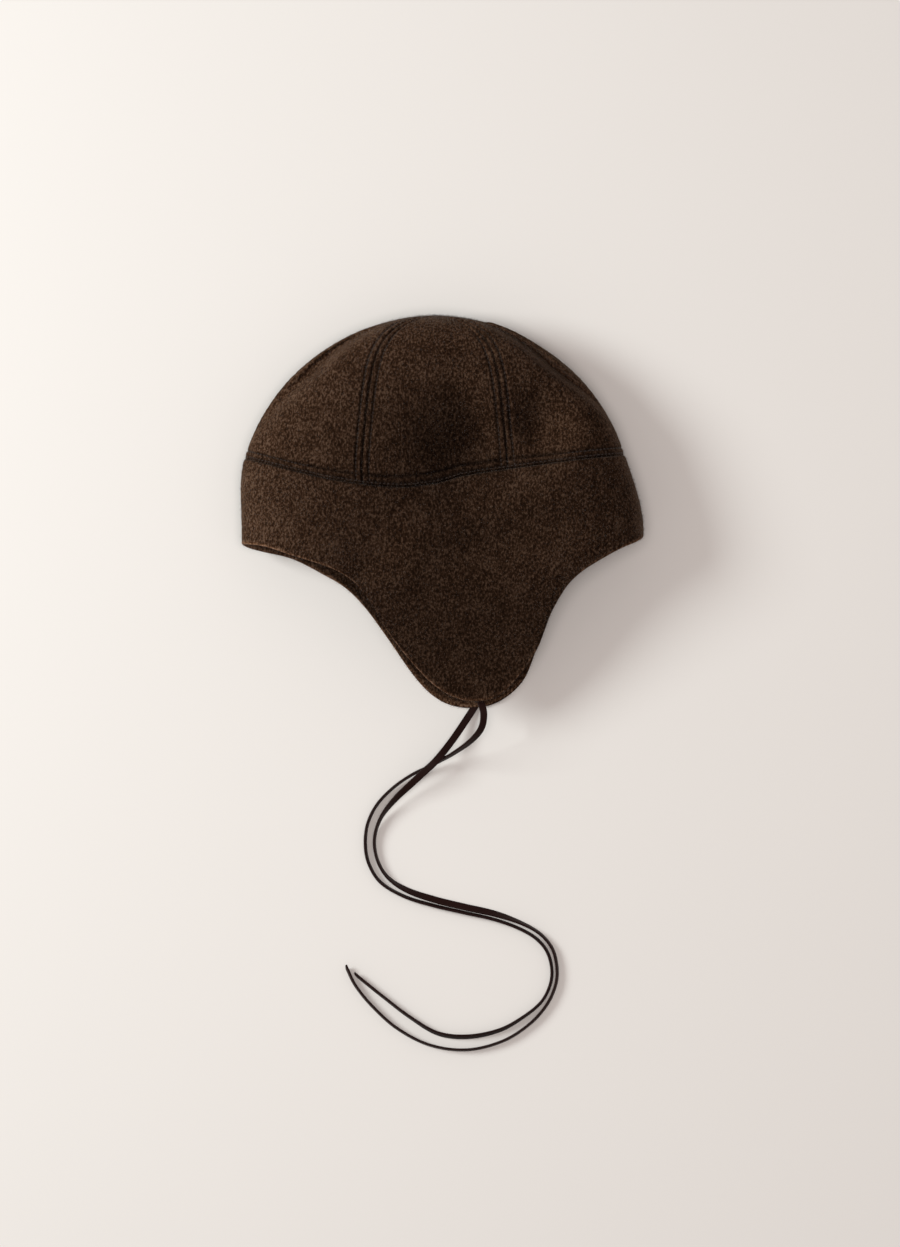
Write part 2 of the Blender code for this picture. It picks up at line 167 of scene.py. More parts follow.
FAR_LACE_ROUTE = (
    {"across": 0.0226, "along": -0.1298, "height": 0.0010, "turn": 90},
    {"across": 0.0160, "along": -0.1400, "height": 0.0034, "turn": 90},
    {"across": 0.0060, "along": -0.1545, "height": 0.0094, "turn": 90},
    {"across": -0.0050, "along": -0.1680, "height": 0.0152, "turn": 88},
    {"across": -0.0120, "along": -0.1745, "height": 0.0146, "turn": 84},
    {"across": -0.0200, "along": -0.1820, "height": 0.0122, "turn": 72},
    {"across": -0.0320, "along": -0.1935, "height": 0.0080, "turn": 44},
    {"across": -0.0415, "along": -0.2060, "height": 0.0048, "turn": 20},
    {"across": -0.0458, "along": -0.2200, "height": 0.0030},
    {"across": -0.0440, "along": -0.2340},
    {"across": -0.0370, "along": -0.2460, "turn": 16},
    {"across": -0.0245, "along": -0.2545, "height": 0.0025, "turn": 38},
    {"across": -0.0060, "along": -0.2610, "height": 0.0021, "turn": 56},
    {"across": 0.0150, "along": -0.2662, "height": 0.0020, "turn": 60},
    {"across": 0.0345, "along": -0.2705, "height": 0.0023, "turn": 46},
    {"across": 0.0520, "along": -0.2765, "turn": 20},
    {"across": 0.0655, "along": -0.2840},
    {"across": 0.0740, "along": -0.2940},
    {"across": 0.0772, "along": -0.3060},
    {"across": 0.0766, "along": -0.3180},
    {"across": 0.0705, "along": -0.3320},
    {"across": 0.0590, "along": -0.3450},
    {"across": 0.0410, "along": -0.3565},
    {"across": 0.0170, "along": -0.3625},
    {"across": -0.0080, "along": -0.3595},
    {"across": -0.0300, "along": -0.3485},
    {"across": -0.0470, "along": -0.3335},
    {"across": -0.0588, "along": -0.3190},
    {"across": -0.0648, "along": -0.3068, "turn": 14},
)

# Columns and rows of the fine cloth meshes
NEAR_SIDE_GRID = (124, 140)
NEAR_END_GRID = (132, 140)
FAR_CROWN_GRID = (84, 90)
NEAR_BAND_GRID = (300, 128)
FAR_BAND_GRID = (220, 90)

# Distances from a cut edge at which the mesh has extra rows, and how many times the last
# of them a line must be for them to keep apart
RIM_ROWS = (0.0, 0.00015, 0.0004, 0.0008, 0.0013)
RIM_ROWS_SPAN = 4

# Places on a line of cloth and on a stitch row, the step that finds a slope, and the
# rounds that find a seam's foot
LENGTH_SAMPLES = 240
ROW_SAMPLES = 400
STEP = 1e-4
SEAM_FOOT_TURNS = 8

# Where the gores end at the crown's top, the rounding of rims in shares of a wall, the
# laces' share of that, and how much of a wall a groove may take
APEX_RADIUS = 0.0005
RIM_ROUNDNESS = 0.45
LACE_RIM_SHARE = 0.6
SUNK_LIMIT = 0.7

# Ditch widths over which the soft waves die out beside an edge, and the finer tufts' share
CALM_WIDTHS = 4
FINE_TUFT = 0.5

# Painted light and shade: cloth that faces the lamp at the left is painted lighter, cloth that faces away
# darker. The mesh layer named nap holds that tone, the way points roughly to the lamp, and the tone grows
# between the two shares
PAINTED_LIGHT_LAYER = "nap"
PAINTED_LIGHT_WAY = (-0.86, 0.10, 0.50)
PAINTED_LIGHT_FROM = 0.50
PAINTED_LIGHT_TO = 0.90

# Painted shade in each kind of seam, as a share of tone taken off, and painted light at a free rim: a
# highlight outside and light inside
SEAM_PAINTED_SHADES = {"gore": 0.36, "foot": 0.80, "band": 0.60, "fold": 0.40}
RIM_PAINTED_HIGHLIGHT = 3.2
RIM_PAINTED_HIGHLIGHT_WIDTH = 0.0015
INSIDE_PAINTED_LIGHT = 2.3
INSIDE_PAINTED_LIGHT_WIDTH = 0.0036

# Stitches in shares of thread and groove, and how many row distances from the top they end
STITCH_FLATNESS = 0.8
STITCH_SINK = 0.95
ROW_TOP = 3

# Loose fibres: seed, sway, the shortest as a share of the longest, and how far a fibre's
# middle stands from the cloth
FIBRE_SEED = 7
FIBRE_SWAY = 0.5
FIBRE_SHORTEST = 0.35
FIBRE_MIDDLE = 0.45

# Share of a lace's length at which its slanted end starts
SLANT_START = 0.98

# The wool's share of larger tufts, strength of patches, and stops of its three colours
TUFT_SHARE = 0.72
PATCH_STRENGTH = 0.13
WOOL_STOPS = (0.42, 0.51, 0.60)

# Second tones of thread, fibres, leather and floor, and how much of the floor's shows
PLY_TONE = 1.7
FIBRE_TONE = 0.4
WORN_TONE = 1.9
FLOOR_TONE = 0.94
FLOOR_MOTTLE = 0.12

# The stage, from the photograph's frame: where its middle lies on the floor, and how
# much of the floor its longer side covers
VIEW_MIDDLE = (0.0051, -0.0749, 0.0)
VIEW_LONG_SIDE = 0.8417
VIEW_DISTANCE = 6.0
SENSOR = 36.0
FLOOR_SIZE = 6.0

# The lamp at the left stands a little up the picture, and the one overhead is a wide disk
KEY_SKEW = 0.22
TOP_SIZE = 1.2


class HatCloth(bpy.types.PropertyGroup):
    """Sizes and colours of the wool cloth."""

    thickness: FloatProperty(
        name="Thickness", description="Thickness of the felted wool", default=0.0024, unit="LENGTH"
    )
    ditch_depth: FloatProperty(
        name="Ditch depth", description="How deep a seam sinks in", default=0.0009, unit="LENGTH"
    )
    ditch_width: FloatProperty(
        name="Ditch width", description="Half width of a seam's ditch", default=0.0010, unit="LENGTH"
    )
    groove_depth: FloatProperty(
        name="Groove depth", description="How deep a stitch row sinks in", default=0.0009, unit="LENGTH"
    )
    groove_width: FloatProperty(
        name="Groove width", description="Half width of a stitch row's groove", default=0.0009, unit="LENGTH"
    )
    nap_height: FloatProperty(
        name="Nap height", description="How far tufts of the nap stand out", default=0.00028, unit="LENGTH"
    )
    nap_size: FloatProperty(
        name="Nap size", description="Size of one tuft of the nap", default=0.0020, unit="LENGTH"
    )
    # Painted light and shade: the tone of cloth that faces away from the lamp at the left, and how much
    # lighter cloth that faces the lamp is painted
    painted_light_base: FloatProperty(
        name="Nap shade", description="Tone of cloth that faces along the nap", default=0.30
    )
    painted_light_gain: FloatProperty(
        name="Nap shine", description="How much lighter cloth is that faces against the nap", default=0.98
    )
    # Painted sheen: how much lighter the cloth is painted towards the folds
    painted_sheen_gain: FloatProperty(
        name="Edge shine", description="How much lighter cloth is by the folds, where fibres stand up",
        default=1.0,
    )
    wave_height: FloatProperty(
        name="Wave height", description="Height of the cloth's soft waves", default=0.0004, unit="LENGTH"
    )
    wave_size: FloatProperty(
        name="Wave size", description="Size of the cloth's soft waves", default=0.028, unit="LENGTH"
    )
    dark: FloatVectorProperty(
        name="Dark wool", description="Colour between the tufts",
        default=(0.0088, 0.0040, 0.0019), subtype="COLOR",
    )
    middle: FloatVectorProperty(
        name="Wool", description="Main colour of the wool", default=(0.0245, 0.0118, 0.0062), subtype="COLOR"
    )
    light: FloatVectorProperty(
        name="Light wool", description="Colour of the highest tufts",
        default=(0.0590, 0.0350, 0.0225), subtype="COLOR",
    )


class HatFuzz(bpy.types.PropertyGroup):
    """Loose fibres that stand out of the wool."""

    count: IntProperty(name="Fibres", description="Number of fibres on one side", default=30000)
    length: FloatProperty(name="Length", description="Longest fibre", default=0.0024, unit="LENGTH")
    radius: FloatProperty(
        name="Radius", description="Radius of a fibre's root", default=0.00005, unit="LENGTH"
    )
    lean: FloatProperty(name="Lean", description="How far fibres lean over", default=1.1)
    colour: FloatVectorProperty(
        name="Fibre colour", description="Colour of the fibres",
        default=(0.075, 0.045, 0.029), subtype="COLOR",
    )


class HatSeams(bpy.types.PropertyGroup):
    """Sizes and colour of the topstitching."""

    gore_row: FloatProperty(
        name="Crown row", description="From a crown seam to the stitch row beside it",
        default=0.0044, unit="LENGTH",
    )
    band_row_low: FloatProperty(
        name="Lower band row", description="From the band seam to the first row above it",
        default=0.0016, unit="LENGTH",
    )
    band_row_high: FloatProperty(
        name="Upper band row", description="From the band seam to the second row above it",
        default=0.0050, unit="LENGTH",
    )
    stitch_pitch: FloatProperty(
        name="Stitch pitch", description="From one stitch to the next", default=0.0028, unit="LENGTH"
    )
    stitch_length: FloatProperty(
        name="Stitch length", description="Length of thread that shows", default=0.0021, unit="LENGTH"
    )
    thread: FloatProperty(
        name="Thread", description="Diameter of the thread", default=0.00042, unit="LENGTH"
    )
    colour: FloatVectorProperty(
        name="Thread colour", description="Colour of the thread",
        default=(0.0130, 0.0066, 0.0038), subtype="COLOR",
    )


class HatLaces(bpy.types.PropertyGroup):
    """Sizes and colour of the leather laces."""

    width: FloatProperty(name="Width", description="Width of the flat lace", default=0.0048, unit="LENGTH")
    thickness: FloatProperty(
        name="Thickness", description="Thickness of the leather", default=0.0014, unit="LENGTH"
    )
    steps: IntProperty(name="Steps", description="Steps along each lace", default=420)
    slant: FloatProperty(
        name="Slant", description="How far the end is cut on the slant", default=0.0032, unit="LENGTH"
    )
    colour: FloatVectorProperty(
        name="Leather", description="Colour of the leather", default=(0.0094, 0.0026, 0.0018), subtype="COLOR"
    )


class HatStage(bpy.types.PropertyGroup):
    """The floor and the light."""

    floor: FloatVectorProperty(
        name="Floor", description="Colour of the pale floor", default=(0.815, 0.785, 0.750), subtype="COLOR"
    )
    ambient: FloatProperty(name="Ambient", description="Strength of the light from all round", default=0.34)
    key_power: FloatProperty(name="Key power", description="Power of the light at the left", default=34.0)
    top_power: FloatProperty(name="Top power", description="Power of the light overhead", default=30.0)
    top_height: FloatProperty(
        name="Top height", description="Height of the light overhead", default=3.0, unit="LENGTH"
    )
    room_colour: FloatVectorProperty(
        name="Room colour", description="Colour of the light overhead and from all round",
        default=(1.0, 0.92, 0.895), subtype="COLOR",
    )
    key_colour: FloatVectorProperty(
        name="Key colour", description="Colour of the light at the left",
        default=(0.935, 1.0, 1.0), subtype="COLOR",
    )
    key_height: FloatProperty(
        name="Key height", description="Angle of the light above the floor",
        default=math.radians(37), subtype="ANGLE",
    )
    key_size: FloatProperty(name="Key size", description="Width of the light", default=0.95, unit="LENGTH")
    key_distance: FloatProperty(
        name="Key distance", description="From the hat to the light", default=2.2, unit="LENGTH"
    )


def mix(start, end, share):
    return start + (end - start) * share


def ease(share):
    """Runs from 0 to 1 with no kink at either end."""
    share = np.clip(share, 0.0, 1.0)
    return share * share * (3 - 2 * share)


def curve_through(places, values, place):
    """A smooth curve through a table's values, read at many places at once."""
    places, values = np.asarray(places, float), np.asarray(values, float)
    last = len(places) - 1
    k = np.clip(np.searchsorted(places, place, side="left") - 1, 0, last - 1)
    low, high = np.maximum(np.arange(last + 1) - 1, 0), np.minimum(np.arange(last + 1) + 1, last)
    slope = (values[high] - values[low]) / (places[high] - places[low])
    length = places[k + 1] - places[k]
    s = (place - places[k]) / length
    return (
        values[k] * (1 + 2 * s) * (1 - s) ** 2
        + values[k + 1] * s * s * (3 - 2 * s)
        + slope[k] * length * s * (1 - s) ** 2
        - slope[k + 1] * length * s * s * (1 - s)
    )


def column(table, name, usual=0.0):
    """A column of a table, with a usual value where a row leaves it out."""
    return [row.get(name, usual) for row in table]


def crown_middle(y):
    """The crown leans a little to the back above the band."""
    return CROWN_SHIFT * ease((y - WIDEST_Y) / CROWN_SHIFT_REACH)


def bowed(share, roundness):
    """The height of a rounded form, 1 in the middle and 0 at share 1."""
    return np.maximum(0.0, 1 - share**roundness) ** (1 / roundness)


def dent_depth(across, up):
    """How far the hollows sink the near side at a place."""
    depth = 0.0
    for dent in NEAR_DENTS:
        turn = math.radians(dent["turn"])
        dx, dy = across - dent["across"], up - dent["up"]
        side = dx * math.cos(turn) + dy * math.sin(turn)
        run = -dx * math.sin(turn) + dy * math.cos(turn)
        reach = np.where(side > 0, dent["front"], dent["back"])
        depth = depth + dent["deep"] * np.exp(-((side / reach) ** 2) - (run / dent["long"]) ** 2)
    return depth * NEAR_RISE


def crease_depth(around, level):
    """How far the creases beside the folds sink the near side."""
    depth = 0.0
    for crease in CREASES:
        share = (np.degrees(level) - crease["low"]) / (crease["high"] - crease["low"])
        angle = mix(crease["low_angle"], crease["high_angle"], ease(share / CREASE_TURN))
        off = (np.degrees(np.abs(around - crease["fold"])) - angle) / crease["width"]
        depth = depth + crease["deep"] * np.maximum(0, 4 * share * (1 - share)) * np.exp(-off * off)
    return depth


def skin(side, around, level):
    """Points of the outer face. around goes from the front fold, 0, over the near or
    the far side to the back fold, and level from the flaps to the crown's top."""
    around, level = np.broadcast_arrays(np.asarray(around, float), np.asarray(level, float))
    crown = level > 0
    up = np.where(crown, np.sin(level), 0.0)
    y = WIDEST_Y + CROWN_REACH * np.where(crown, up, level)
    across = np.where(crown, np.cos(level), 1.0) * np.cos(around)
    out = np.minimum(1.0, np.hypot(across, up))
    fullness = 1 + CROWN_FULLNESS * np.where(crown, np.sin(2 * level) ** 2, 0.0)
    x = crown_middle(y) + HALF_WIDTH * fullness * across
    if side == FAR:
        past_flat = np.maximum(0.0, (out - FAR_FLAT_SHARE) / (1 - FAR_FLAT_SHARE))
        z = FOLD_HEIGHT * (1 - bowed(past_flat, FAR_ROUNDNESS))
        return np.stack((x, y, z), axis=-1)
    rise = mix(NEAR_RISE, NEAR_FLAP_RISE, ease((WIDEST_Y - y) / FLAP_REACH))
    roundness = mix(NEAR_BACK_ROUNDNESS, NEAR_FRONT_ROUNDNESS, ease((1 + across) / 2))
    z = FOLD_HEIGHT + rise * bowed(out, roundness)
    inside = 1 - out**DENT_EDGE_POWER
    z = z - inside * dent_depth(across, (y - WIDEST_Y) / HALF_WIDTH) * rise / NEAR_RISE
    z = z - crease_depth(around, level)
    return np.stack((x, y, z), axis=-1)


def slopes(side, around, level):
    """How the skin runs around and along the hat at many places."""
    level = np.minimum(level, math.pi / 2 - 2 * STEP)
    around = np.clip(around, STEP, math.pi - STEP)
    run_around = skin(side, around + STEP, level) - skin(side, around - STEP, level)
    run_along = skin(side, around, level + STEP) - skin(side, around, level - STEP)
    return run_around / (2 * STEP), run_along / (2 * STEP)


def outward(side, around, level):
    """The direction that the cloth faces."""
    run_around, run_along = slopes(side, around, level)
    facing = np.cross(run_along, run_around) * side
    return facing / np.linalg.norm(facing, axis=-1, keepdims=True)


def seam_level(side, around):
    """The level of the seam between crown and band."""
    across = np.cos(around)
    rise = curve_through(column(BAND_SEAM, "across"), column(BAND_SEAM, "up"), across)
    if side == FAR:
        rise = rise - FAR_SEAM_DROP * (1 - across * across)
    return np.arcsin(rise)


def front_fold(level):
    return FRONT + 0 * level


def front_seam(level):
    """The angle of the seam between the front and side panels of the crown."""
    rise = np.maximum(0.0, np.sin(level))
    return np.arccos(GORE_SEAM_SHARE + GORE_SEAM_SPREAD * rise**GORE_SEAM_POWER)


def back_seam(level):
    return math.pi - front_seam(level)


def back_fold(level):
    return BACK + 0 * level


def beside(side, seam, level, distance):
    """The angle that lies a distance past a seam, measured square to it."""
    run_around, run_along = slopes(side, seam(level), level)
    turn = (seam(level + STEP) - seam(level - STEP)) / (2 * STEP)
    run_seam = run_along + run_around * np.asarray(turn)[..., None]
    square = np.linalg.norm(np.cross(run_around, run_seam), axis=-1)
    return seam(level) + distance * np.linalg.norm(run_seam, axis=-1) / square


def above(side, around, level, distance):
    """The level that lies a distance further up the hat."""
    return level + distance / np.linalg.norm(slopes(side, around, level)[1], axis=-1)


def edge_line(side):
    """The lower edge as angles and levels, from the front fold to the back."""
    across, down = np.array(column(EDGE, "across")), np.array(column(EDGE, "down"))
    if side == FAR:
        across = across + np.array(column(EDGE, "far_across"))
        down = down + np.array(column(EDGE, "far_down"))
    return np.arccos(np.clip(across, -1.0, 1.0)), -down * FLAP_REACH / CROWN_REACH


def running_length(points):
    """How far along a chain of points each one lies."""
    steps = np.linalg.norm(np.diff(points, axis=0), axis=-1)
    return np.concatenate(([0.0], np.cumsum(steps)))


def seam_foot(side, seam):
    """The angle at which a crown seam meets the band."""
    around = seam(0.0)
    for _ in range(SEAM_FOOT_TURNS):
        around = seam(seam_level(side, around))
    return around


def crown_place(side, first, second):
    """The angle and level for shares u, across a panel, and v, up it."""
    first_foot, second_foot = seam_foot(side, first), seam_foot(side, second)
    top = math.acos(APEX_RADIUS / HALF_WIDTH)

    def place(u, v):
        level = mix(seam_level(side, mix(first_foot, second_foot, u)), top, v)
        return mix(first(level), second(level), u), level

    return place


def band_place(side):
    """The angle and level for shares u, along the band, and v, up it."""
    edge_around, edge_level = edge_line(side)
    along = running_length(skin(side, edge_around, edge_level))
    along = along / along[-1]

    def place(u, v):
        top = mix(FRONT, BACK, u)
        around = mix(curve_through(along, edge_around, u), top, v)
        level = mix(curve_through(along, edge_level, u), seam_level(side, top), v)
        return np.clip(around, FRONT, BACK), level

    return place


def row_shares(count, length):
    """Shares of a length for each of count + 1 rows, closer together at both ends.
    length may be an array, and the rows are the first axis of what comes back."""
    length = np.atleast_1d(length)
    extra = len(RIM_ROWS) - 1
    squeeze = np.minimum(1.0, length / (RIM_ROWS_SPAN * RIM_ROWS[-1]))
    rows = np.arange(count + 1)
    near_end = np.minimum(rows, count - rows)
    offset = np.array(RIM_ROWS)[np.minimum(near_end, extra)][:, None] * squeeze / length
    inner = (rows - extra) / (count - 2 * extra)
    edge = RIM_ROWS[-1] * squeeze / length
    middle = edge + inner[:, None] * (1 - 2 * edge)
    low = (rows < extra)[:, None]
    high = (rows > count - extra)[:, None]
    return np.where(low, offset, np.where(high, 1 - offset, middle))


def lay_rows(side, place, grid):
    """Spreads a grid evenly over a piece of cloth. Gives the angle and level of each
    point and its distances to the four edges: first, second, foot and top."""
    columns, rows = grid
    fine = np.linspace(0, 1, LENGTH_SAMPLES)
    u, v = np.meshgrid(fine, fine, indexing="ij")
    steps = np.linalg.norm(np.diff(skin(side, *place(u, v)), axis=1), axis=-1)
    heights = steps.sum(axis=1)
    v_rows = row_shares(rows, heights)
    around, level, *borders = np.empty((6, columns + 1, rows + 1))
    for row in range(rows + 1):
        line = running_length(skin(side, *place(fine, v_rows[row])))
        far = row_shares(columns, line[-1])[:, 0] * line[-1]
        u_here = np.interp(far, line, fine)
        v_here = np.interp(u_here, fine, v_rows[row])
        height = np.interp(u_here, fine, heights)
        around[:, row], level[:, row] = place(u_here, v_here)
        for border, distance in zip(borders, (far, line[-1] - far, v_here * height, (1 - v_here) * height)):
            border[:, row] = distance
    return around, level, borders


def rounding(distance, radius):
    """How far a rounded rim falls at a distance from its edge."""
    left = radius - np.minimum(distance, radius)
    return radius - np.sqrt(np.maximum(0.0, radius * radius - left * left))


def dip(distance, width):
    return np.exp(-((distance / width) ** 2))


def uneven(points, size):
    """Soft noise between -1 and 1, with bumps of a size."""
    return np.array([noise.noise(Vector(p)) for p in (points / size).tolist()])


def doubled_grid(form, columns, rows):
    """Lays two layers of a grid, joined at their border. Gives each one's points and places."""
    bmesh.ops.create_grid(form, x_segments=columns, y_segments=rows, size=0.5)
    outer = list(form.verts)
    made = bmesh.ops.extrude_face_region(form, geom=form.faces[:], use_keep_orig=True)
    inner = [item for item in made["geom"] if isinstance(item, bmesh.types.BMVert)]
    for layer in (outer, inner):
        yield layer, [(round((v.co.x + 0.5) * columns), round((v.co.y + 0.5) * rows)) for v in layer]


def turn_out(form):
    """Makes every face of a closed form look outward."""
    bmesh.ops.recalc_face_normals(form, faces=form.faces[:])
    if form.calc_volume(signed=True) < 0:
        bmesh.ops.reverse_faces(form, faces=form.faces[:])


def cloth_piece(name, side, place, grid, rims, material, cloth, seams):
    """A thick piece of cloth. rims says what each of its four edges is: a gore seam, the
    foot of the crown, the top of the band, a fold of the band, free, or None at the apex."""
    around, level, borders = lay_rows(side, place, grid)
    surface = skin(side, around, level)
    facing = outward(side, around, level)
    half = cloth.thickness * RIM_ROUNDNESS
    fall, sunk = np.zeros((2, *around.shape))
    shade, rim_painted_highlight, inner_painted_light = np.ones((3, *around.shape))
    for rim, distance in zip(rims, borders):
        if rim is None:
            continue
        fall = np.maximum(fall, rounding(distance, half))
        # A free rim gets a painted highlight along its outer face
        if rim == "free":
            rim_painted_highlight += RIM_PAINTED_HIGHLIGHT * dip(distance, RIM_PAINTED_HIGHLIGHT_WIDTH)
            # The inner face beside a free rim is painted lighter
            inner_painted_light += INSIDE_PAINTED_LIGHT * dip(distance, INSIDE_PAINTED_LIGHT_WIDTH)
            continue
        grooves = [(0.0, cloth.ditch_width, cloth.ditch_depth)]
        rows_of = {"gore": (seams.gore_row,), "foot": (seams.band_row_low, seams.band_row_high)}
        grooves += [(row, cloth.groove_width, cloth.groove_depth) for row in rows_of.get(rim, ())]
        for offset, width, deep in grooves:
            near_it = dip(distance - offset, width)
            sunk = np.maximum(sunk, deep * near_it)
            # Painted shade: the cloth is painted darker in each seam's ditch and stitch grooves
            shade = np.minimum(shade, 1 - SEAM_PAINTED_SHADES[rim] * near_it)
    sunk = np.minimum(sunk, np.maximum(0.0, cloth.thickness - 2 * fall) * SUNK_LIMIT)
    waves = uneven(surface.reshape(-1, 3), cloth.wave_size).reshape(around.shape) * cloth.wave_height
    if side == NEAR:
        waves *= 1 - dip(np.minimum.reduce(borders), CALM_WIDTHS * cloth.ditch_width)
    else:
        waves *= 0
    form = bmesh.new()
    painted_light = form.verts.layers.float.new(PAINTED_LIGHT_LAYER)
    layers = list(doubled_grid(form, *grid))
    for (verts, spots), depth, way in zip(layers, (fall + sunk, cloth.thickness - fall), (1, -1)):
        at = tuple(np.array(spots).T)
        points = surface[at] + facing[at] * (waves[at] - depth[at])[:, None]
        tufts = uneven(points, cloth.nap_size)
        tufts += FINE_TUFT * uneven(points + cloth.nap_size, cloth.nap_size * FINE_TUFT)
        points += facing[at] * (tufts * cloth.nap_height * way)[:, None]
        if side == FAR:
            points[:, 2] = np.maximum(points[:, 2], 0.0)
        for vert, point in zip(verts, points.tolist()):
            vert.co = point
    turn_out(form)
    form.normal_update()
    # Painted light and shade: each point's tone is lighter where the cloth faces the lamp at the left, with
    # the painted sheen by the folds, the painted shade of the seams and the painted light by free rims
    against = Vector(PAINTED_LIGHT_WAY).normalized()
    across = np.where(level > 0, np.cos(level), 1.0) * np.cos(around)
    # Painted sheen: the cloth's tone grows towards the folds
    painted_sheen = cloth.painted_sheen_gain * np.hypot(across, np.sin(np.maximum(level, 0.0))) ** DENT_EDGE_POWER
    for (verts, spots), tone in zip(layers, (shade * rim_painted_highlight, inner_painted_light)):
        for vert, spot in zip(verts, spots):
            lamp_facing = ease(((1 + vert.normal.dot(against)) / 2 - PAINTED_LIGHT_FROM) / (PAINTED_LIGHT_TO - PAINTED_LIGHT_FROM))
            vert[painted_light] = (cloth.painted_light_base + cloth.painted_light_gain * lamp_facing + painted_sheen[spot]) * tone[spot]
    return finished(name, form, material)


def finished(name, form, material):
    """Makes an object of a bmesh, shaded smooth."""
    mesh = bpy.data.meshes.new(name)
    form.to_mesh(mesh)
    form.free()
    mesh.shade_smooth()
    mesh.materials.append(material)
    made = bpy.data.objects.new(name, mesh)
    bpy.context.scene.collection.objects.link(made)
    return made


class Wire:
    """A socket of a material's node tree, on which Python's operators work."""

    def __init__(self, tree, socket):
        self.tree, self.socket = tree, socket

    def math(self, operation, *values):
        return self.tree.node("ShaderNodeMath", {"operation": operation}, dict(enumerate(values)))

    def __add__(self, other):
        return self.math("ADD", self, other)

    def __sub__(self, other):
        return self.math("SUBTRACT", self, other)

    def __rsub__(self, other):
        return self.math("SUBTRACT", other, self)

    def __mul__(self, other):
        return self.math("MULTIPLY", self, other)

    __radd__ = __add__


class Finish:
    """A material and its nodes."""

    def __init__(self, name, **constants):
        self.material = bpy.data.materials.new(name)
        self.material.use_nodes = True
        self.nodes = self.material.node_tree.nodes
        self.links = self.material.node_tree.links
        self.shader = self.nodes["Principled BSDF"]
        for socket, value in constants.items():
            self.feed(self.shader.inputs[socket.replace("_", " ").title().replace("Ior", "IOR")], value)

    def feed(self, socket, value):
        if isinstance(value, Wire):
            self.links.new(value.socket, socket)
        elif socket.type == "RGBA":
            socket.default_value = (*value, 1.0)
        else:
            socket.default_value = value

    def node(self, kind, settings=None, inputs=None, output=0):
        """Any node: its settings first, and then the values or wires of its sockets."""
        made = self.nodes.new(kind)
        for name, value in (settings or {}).items():
            if name == "stops":
                ramp = made.color_ramp.elements
                while len(ramp) < len(value):
                    ramp.new(0.5)
                for element, (position, shade) in zip(ramp, value):
                    element.position = position
                    element.color = (*shade, 1.0)
            else:
                setattr(made, name, value)
        for name, value in (inputs or {}).items():
            self.feed(made.inputs[name], value)
        return Wire(self, made.outputs[output])

    def noise(self, place, scale, detail=2.0, roughness=0.5):
        inputs = {"Vector": place, "Scale": scale, "Detail": detail, "Roughness": roughness}
        return self.node("ShaderNodeTexNoise", inputs=inputs)

    def blend(self, share, first, second):
        return self.node("ShaderNodeMix", {"data_type": "RGBA"}, {0: share, 6: first, 7: second}, output=2)

    def place(self, stretch=(1.0, 1.0, 1.0)):
        coords = self.node("ShaderNodeTexCoord", output="Object")
        return self.node("ShaderNodeMapping", inputs={"Vector": coords, "Scale": stretch})

    def shade(self, colour, roughness, height=None, distance=0.001, strength=1.0):
        self.feed(self.shader.inputs["Base Color"], colour)
        self.feed(self.shader.inputs["Roughness"], roughness)
        if height is not None:
            inputs = {"Height": height, "Distance": distance, "Strength": strength}
            self.feed(self.shader.inputs["Normal"], self.node("ShaderNodeBump", inputs=inputs))
        return self.material


def toned(colour, share):
    return tuple(share * part for part in colour)


def wool_finish(cloth):
    """Felted wool: short curled tufts, darker between them, with a dull sheen."""
    finish = Finish(
        "felted_wool", sheen_weight=0.30, sheen_roughness=0.30, sheen_tint=(0.50, 0.35, 0.25),
        specular_ior_level=0.02,
    )
    lying = finish.place(stretch=(1.0, 0.62, 1.0))
    tufts = finish.noise(lying, scale=800, detail=3.0, roughness=0.62)
    fibres = finish.noise(lying, scale=2600, roughness=0.6)
    patches = finish.noise(finish.place(), scale=70)
    height = tufts * TUFT_SHARE + fibres * (1 - TUFT_SHARE)
    stops = list(zip(WOOL_STOPS, (cloth.dark, cloth.middle, cloth.light)))
    tone = height + (patches - 0.5) * PATCH_STRENGTH
    colour = finish.node("ShaderNodeValToRGB", {"stops": stops}, {"Fac": tone})
    # The colour is scaled by the painted light and shade that the cloth carries in its mesh layer
    painted_light = finish.node("ShaderNodeAttribute", {"attribute_name": PAINTED_LIGHT_LAYER}, output=2)
    lit = finish.node("ShaderNodeVectorMath", {"operation": "SCALE"}, {"Vector": colour, "Scale": painted_light})
    return finish.shade(lit, roughness=0.93 - height * 0.08, height=height, distance=0.0011)


def thread_finish(seams):
    """Matt sewing thread, twisted from two plies."""
    finish = Finish("sewing_thread", sheen_weight=0.2, specular_ior_level=0.25)
    plies = finish.noise(finish.place(), scale=2600)
    colour = finish.blend(plies, toned(seams.colour, 1), toned(seams.colour, PLY_TONE))
    return finish.shade(colour, roughness=0.8 + plies * 0.1, height=plies, distance=0.0002, strength=0.6)


def fibre_finish(fuzz):
    """Loose wool fibres, dull and a little lighter than the cloth."""
    finish = Finish("loose_fibres", sheen_weight=0.3, specular_ior_level=0.05)
    lots = finish.noise(finish.place(), scale=240, detail=1.0)
    colour = finish.blend(lots, toned(fuzz.colour, FIBRE_TONE), toned(fuzz.colour, 1))
    return finish.shade(colour, roughness=0.9)


def leather_finish(laces):
    """Smooth dark leather with a fine grain and paler worn places."""
    finish = Finish("smooth_leather", specular_ior_level=0.10)
    grain = finish.noise(finish.place(), scale=1500, detail=3.0, roughness=0.6)
    wear = finish.noise(finish.place(), scale=130, detail=3.0, roughness=0.6)
    colour = finish.blend(wear, toned(laces.colour, 1), toned(laces.colour, WORN_TONE))
    return finish.shade(colour, roughness=0.42 + grain * 0.22, height=grain, distance=0.00022, strength=0.7)


